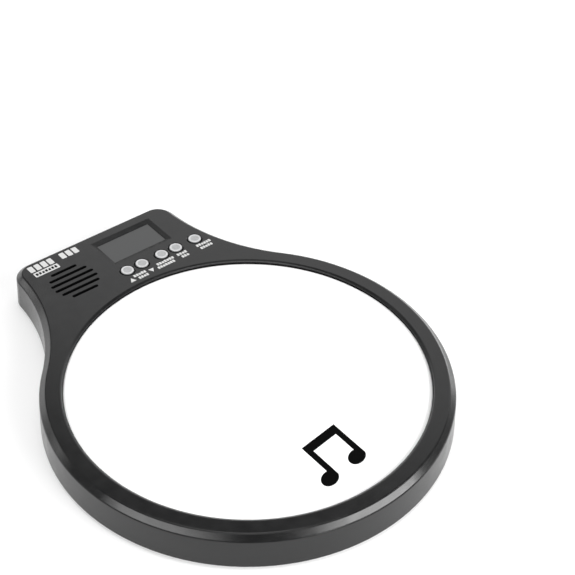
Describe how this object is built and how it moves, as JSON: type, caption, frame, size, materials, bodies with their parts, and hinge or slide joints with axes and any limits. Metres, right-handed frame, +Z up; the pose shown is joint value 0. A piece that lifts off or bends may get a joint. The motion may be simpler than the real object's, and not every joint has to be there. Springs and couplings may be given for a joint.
{
  "type": "practice pad",
  "caption": "Round silicone drum practice pad with a built-in metronome head: display, speaker grille, push buttons and a volume wheel.",
  "frame": {"origin": "on the surface that the feet stand on, under the middle of the whole outline", "axes": "+Y from the round body towards the control head, +Z up out of the playing surface"},
  "size_m": [0.2414, 0.2898, 0.0251],
  "materials": {
    "case_plastic": "satin moulded ABS with a fine grain",
    "playing_silicone": "matt white silicone",
    "grey_foam": "closed-cell foam",
    "steel_plate": "zinc-plated sheet",
    "brass": "satin",
    "ceramic": "fired ceramic",
    "button_plastic": "pale grey, lightly dished",
    "switch_plastic": "moulded",
    "plunger_plastic": "moulded",
    "lens": "clear acrylic over a grey display",
    "display_grey": "grey liquid-crystal glass",
    "white_plastic": "moulded",
    "contact_rubber": "zebra strip",
    "speaker_steel": "plated",
    "speaker_paper": "pressed paper",
    "zinc_screw": "zinc-plated",
    "wheel_plastic": "ribbed",
    "shaft_metal": "satin",
    "pot_plastic": "moulded",
    "board_green": "solder mask",
    "chip_black": "moulded",
    "inlet_metal": "nickel-plated",
    "battery_foil": "foil pouch",
    "tape": "foam tape",
    "foot_rubber": "moulded rubber",
    "wire_red": "PVC",
    "wire_black": "PVC"
  },
  "bodies": {
    "housing": {"top_cover": "case_plastic", "bottom_cover": "case_plastic", "support_frame": "case_plastic", "playing_surface": "playing_silicone", "damping_foam": "grey_foam", "backing_plate": "steel_plate", "outer_isolator": "grey_foam", "inner_isolator": "grey_foam", "piezo_disc": "brass", "piezo_ceramic": "ceramic", "piezo_wire_red": "wire_red", "piezo_wire_black": "wire_black", "tempo_up_switch": "switch_plastic", "tempo_down_switch": "switch_plastic", "rhythm_switch": "switch_plastic", "beat_switch": "switch_plastic", "power_switch": "switch_plastic", "display_lens": "lens", "display_glass": "display_grey", "display_backlight": "white_plastic", "display_holder": "white_plastic", "display_connector": "contact_rubber", "speaker_frame": "speaker_steel", "speaker_cone": "speaker_paper", "speaker_magnet": "speaker_steel", "speaker_gasket": "grey_foam", "speaker_screws": "zinc_screw", "speaker_wire_red": "wire_red", "speaker_wire_black": "wire_black", "volume_pot": "pot_plastic", "main_board": "board_green", "controller_chip": "chip_black", "amplifier_chip": "chip_black", "board_capacitor": "inlet_metal", "charging_inlet": "inlet_metal", "inlet_tongue": "chip_black", "battery": "battery_foil", "battery_tape": "tape", "battery_wire_red": "wire_red", "battery_wire_black": "wire_black", "case_screws": "zinc_screw", "board_screws": "zinc_screw", "foot_front_left": "foot_rubber", "foot_front_right": "foot_rubber", "foot_side_left": "foot_rubber", "foot_side_right": "foot_rubber", "foot_head_left": "foot_rubber", "foot_head_right": "foot_rubber"},
    "tempo_up_key": {"tempo_up_button": "button_plastic", "tempo_up_plunger": "plunger_plastic"},
    "tempo_down_key": {"tempo_down_button": "button_plastic", "tempo_down_plunger": "plunger_plastic"},
    "rhythm_key": {"rhythm_button": "button_plastic", "rhythm_plunger": "plunger_plastic"},
    "beat_key": {"beat_button": "button_plastic", "beat_plunger": "plunger_plastic"},
    "power_key": {"power_button": "button_plastic", "power_plunger": "plunger_plastic"},
    "volume_dial": {"volume_wheel": "wheel_plastic", "volume_shaft": "shaft_metal"}
  },
  "joints": [
    {"name": "tempo_up_press", "type": "slide", "parent": "housing", "child": "tempo_up_key", "axis": [0, 0, -1], "range_m": [0, 0.0006], "stiffness_N_per_m": 2500},
    {"name": "tempo_down_press", "type": "slide", "parent": "housing", "child": "tempo_down_key", "axis": [0, 0, -1], "range_m": [0, 0.0006], "stiffness_N_per_m": 2500},
    {"name": "rhythm_press", "type": "slide", "parent": "housing", "child": "rhythm_key", "axis": [0, 0, -1], "range_m": [0, 0.0006], "stiffness_N_per_m": 2500},
    {"name": "beat_press", "type": "slide", "parent": "housing", "child": "beat_key", "axis": [0, 0, -1], "range_m": [0, 0.0006], "stiffness_N_per_m": 2500},
    {"name": "power_press", "type": "slide", "parent": "housing", "child": "power_key", "axis": [0, 0, -1], "range_m": [0, 0.0006], "stiffness_N_per_m": 2500},
    {"name": "volume_turn", "type": "hinge", "parent": "housing", "child": "volume_dial", "pos_m": [0.04846, 0.11096, 0.0067], "axis": [0, 0, 1], "range_deg": [-135, 135]}
  ]
}
